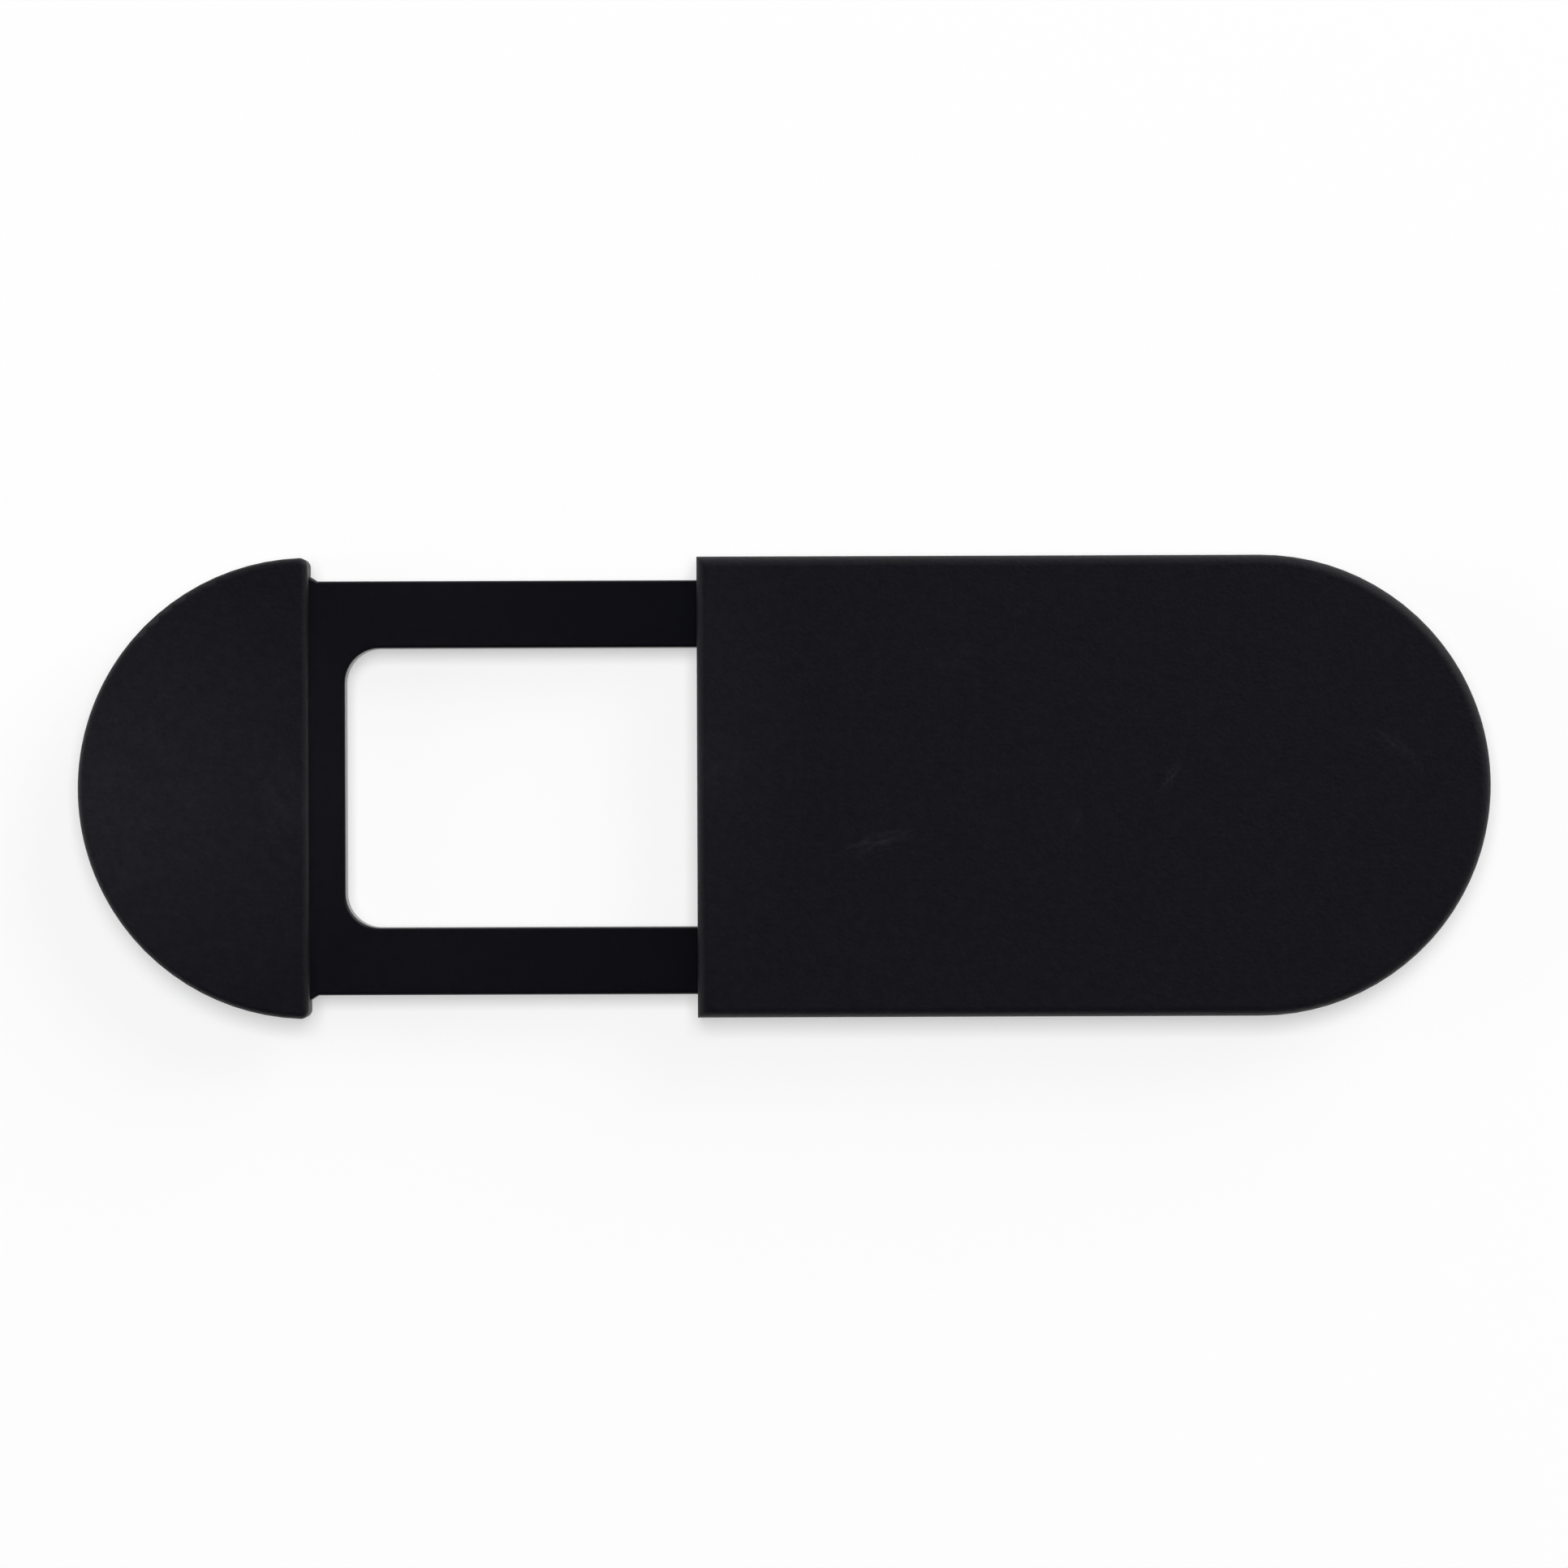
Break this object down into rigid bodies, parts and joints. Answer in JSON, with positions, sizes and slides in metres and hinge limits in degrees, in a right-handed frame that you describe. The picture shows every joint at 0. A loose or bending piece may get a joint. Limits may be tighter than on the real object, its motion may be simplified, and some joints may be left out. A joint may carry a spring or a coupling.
{
  "type": "webcam cover slider",
  "caption": "Slim black webcam cover: an adhesive-backed rail with a lens window and a half-round end cap, and a half-round cover that slides along the rail to hide or show the lens.",
  "frame": {"origin": "middle of the lens window, on the plane that the adhesive tape sticks to", "axes": "+X along the slide, the way the cover opens; +Y across the cover; +Z out of the front, away from the surface it sticks to"},
  "size_m": [0.0429, 0.014, 0.0025],
  "materials": {
    "base_abs": "black ABS, moulded in a fine spark-eroded texture",
    "slider_abs": "black ABS, moulded in a fine spark-eroded texture",
    "foam_tape": "white foam tape with an adhesive face"
  },
  "bodies": {
    "base": {"base_track": "base_abs", "adhesive_tape_cap_end": "foam_tape", "adhesive_tape_rail_end": "foam_tape"},
    "slider": {"slider_cover": "slider_abs"}
  },
  "joints": [
    {"name": "cover_slide", "type": "slide", "parent": "base", "child": "slider", "axis": [1, 0, 0], "range_m": [-0.01175, 0]}
  ]
}
